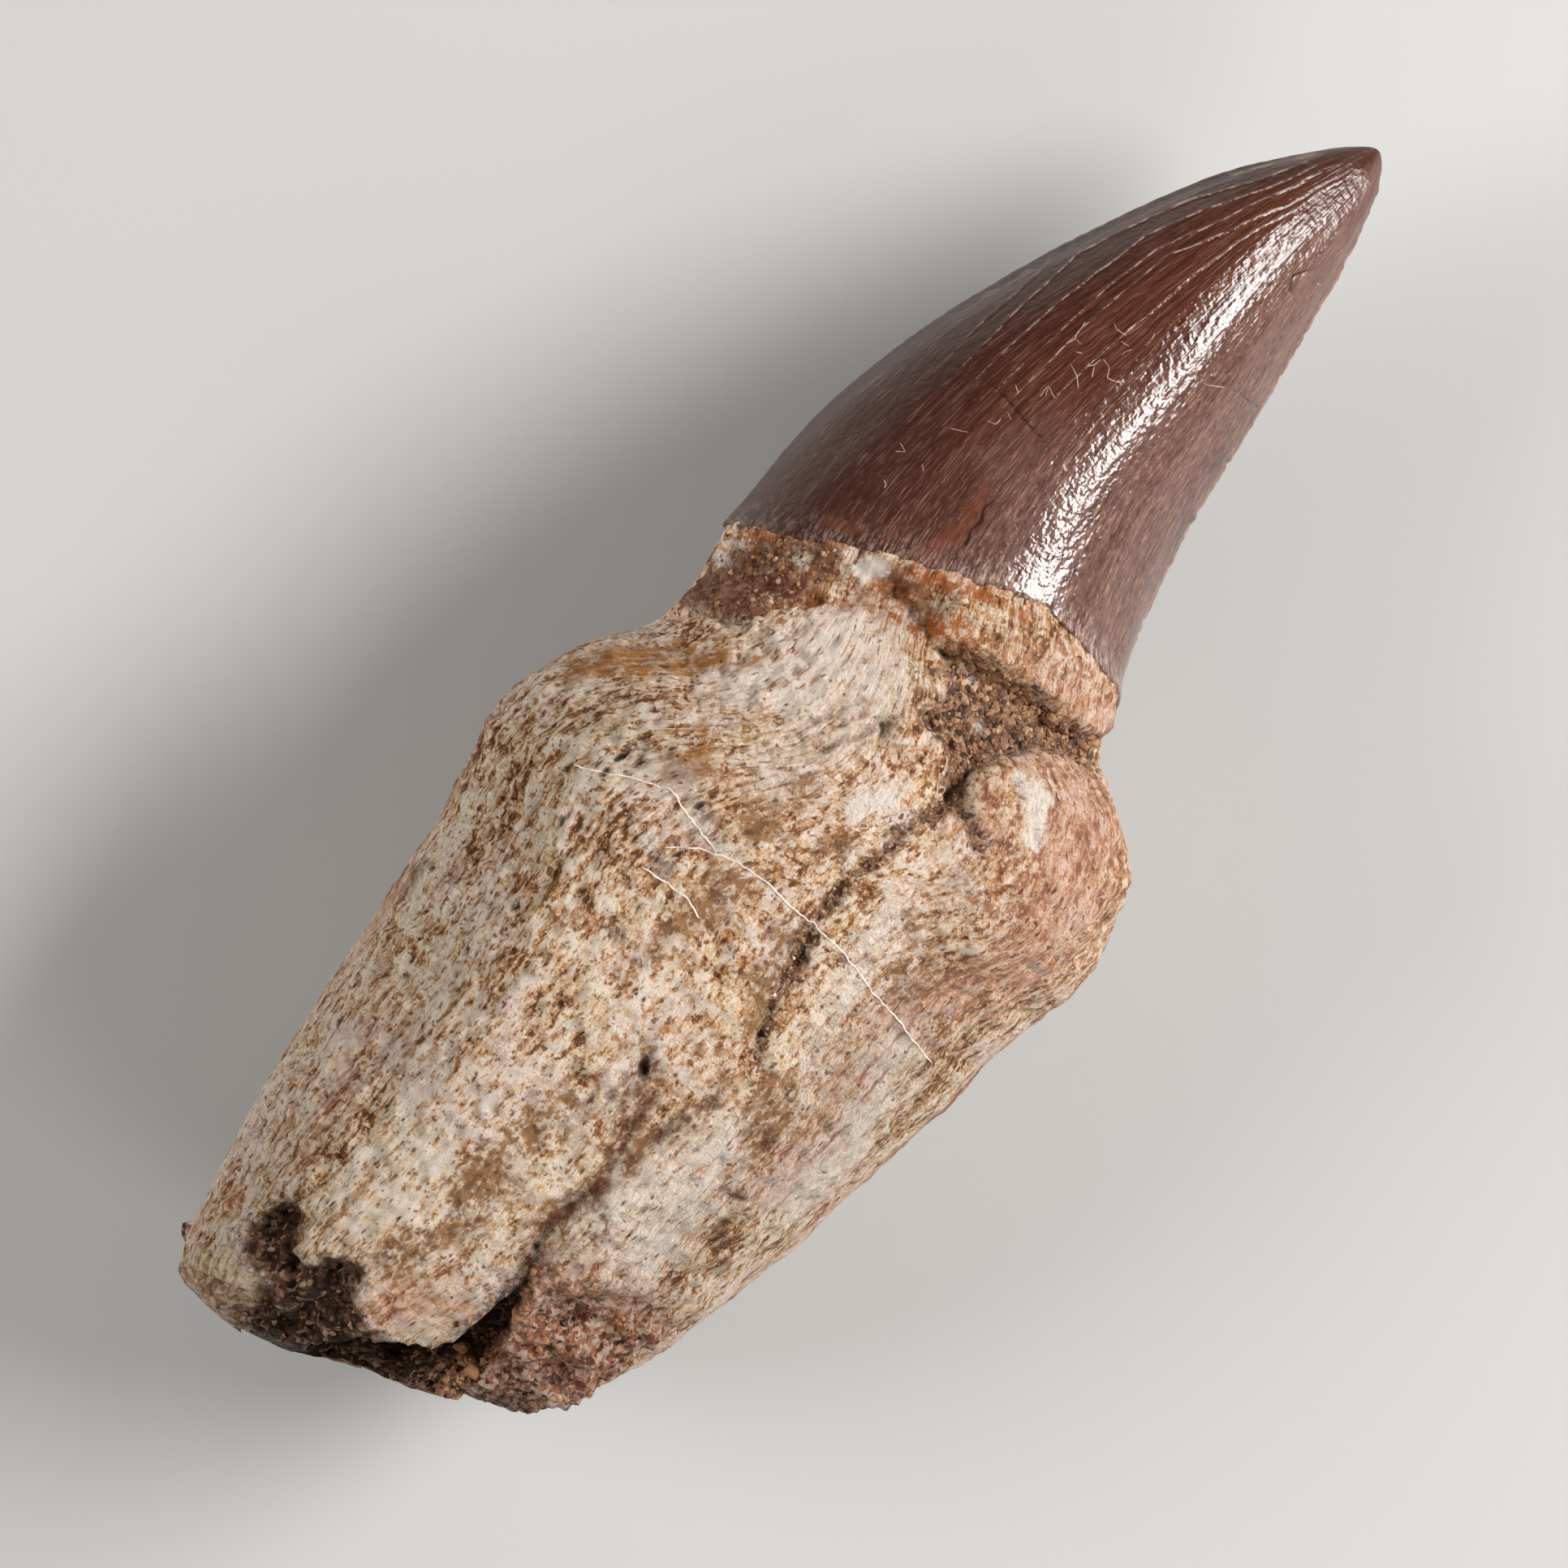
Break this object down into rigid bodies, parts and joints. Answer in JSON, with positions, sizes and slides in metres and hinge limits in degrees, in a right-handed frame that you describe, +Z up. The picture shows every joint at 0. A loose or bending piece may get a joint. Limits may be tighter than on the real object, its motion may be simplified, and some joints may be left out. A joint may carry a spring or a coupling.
{
  "type": "fossil mosasaur tooth",
  "caption": "Fossil marine reptile tooth: a curved, glossy brown enamel crown on a swollen bony root broken at its base, lying on its side.",
  "frame": {"origin": "under the middle of the tooth's bounding box, on the surface that it lies on", "axes": "+X along the tooth from the broken base of the root to the tip of the crown, +Y to the convex front edge, +Z up"},
  "size_m": [0.0882, 0.0338, 0.026],
  "materials": {
    "bone": "matt porous fossil bone with reddish-brown pores and sandy stains",
    "enamel": "glossy brown fossil enamel with fine lengthwise striae",
    "matrix": "rough cemented sand"
  },
  "bodies": {
    "root": {"tooth": "bone"}
  },
  "joints": []
}
